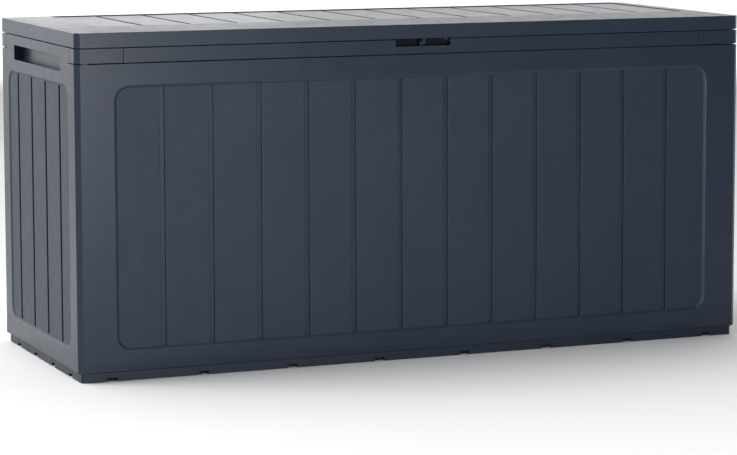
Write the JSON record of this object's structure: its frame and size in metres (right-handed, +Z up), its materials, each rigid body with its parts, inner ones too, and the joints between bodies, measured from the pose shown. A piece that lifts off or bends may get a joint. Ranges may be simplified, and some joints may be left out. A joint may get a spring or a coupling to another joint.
{
  "type": "deck storage box",
  "caption": "Rectangular outdoor storage box with boarded plastic walls, recessed side handles, a padlock recess at the front and a hinged lid with a boarded top.",
  "frame": {"origin": "centre of the footprint, on the ground", "axes": "+X along the width, to the right seen from the front; the front faces -Y; +Z up"},
  "size_m": [1.16, 0.435, 0.55],
  "materials": {
    "wall_plastic": "satin moulded polypropylene, anthracite, with a fine stipple on the boards",
    "lid_plastic": "satin moulded polypropylene, anthracite",
    "base_plastic": "satin moulded polypropylene, anthracite",
    "pin_plastic": "smooth moulded plastic, near black"
  },
  "bodies": {
    "box": {"base_tray": "base_plastic", "front_wall": "wall_plastic", "rear_wall": "wall_plastic", "left_wall": "wall_plastic", "right_wall": "wall_plastic", "front_rail": "wall_plastic", "rear_rail": "wall_plastic", "corner_cap_front_left": "wall_plastic", "corner_cap_front_right": "wall_plastic", "corner_cap_rear_left": "wall_plastic", "corner_cap_rear_right": "wall_plastic", "hinge_pin_left": "pin_plastic", "hinge_pin_centre": "pin_plastic", "hinge_pin_right": "pin_plastic"},
    "lid": {"lid": "lid_plastic"}
  },
  "joints": [
    {"name": "lid_hinge", "type": "hinge", "parent": "box", "child": "lid", "pos_m": [0, 0.2095, 0.51], "axis": [-1, 0, 0], "range_deg": [0, 110]}
  ]
}
